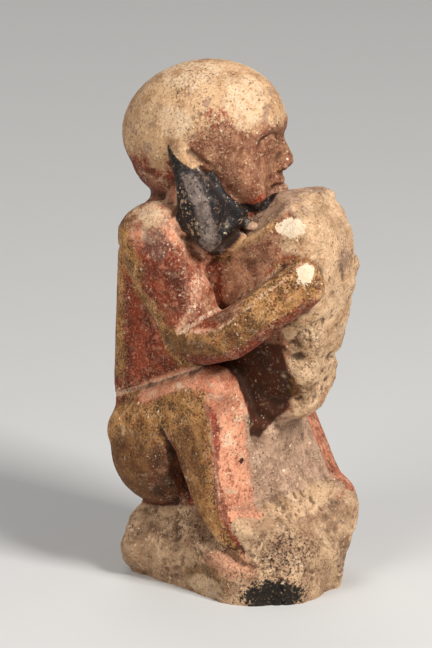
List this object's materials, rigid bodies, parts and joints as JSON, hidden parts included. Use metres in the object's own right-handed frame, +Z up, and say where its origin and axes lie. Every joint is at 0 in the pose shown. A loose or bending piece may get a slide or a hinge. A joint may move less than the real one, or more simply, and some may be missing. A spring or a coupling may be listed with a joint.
{
  "type": "limestone boy statuette",
  "caption": "Small painted limestone statuette of a squatting boy with a sidelock, hugging a large rounded block, on a rough base carved from the same stone.",
  "frame": {"origin": "centre of the bounding box on the flat underside of the base", "axes": "+Z up, the boy faces -Y, and his right side is towards -X"},
  "size_m": [0.0488, 0.061, 0.13],
  "materials": {
    "painted_limestone": "matt carved limestone with worn red, ochre and black paint"
  },
  "bodies": {
    "root": {"boy_statuette": "painted_limestone"}
  },
  "joints": []
}
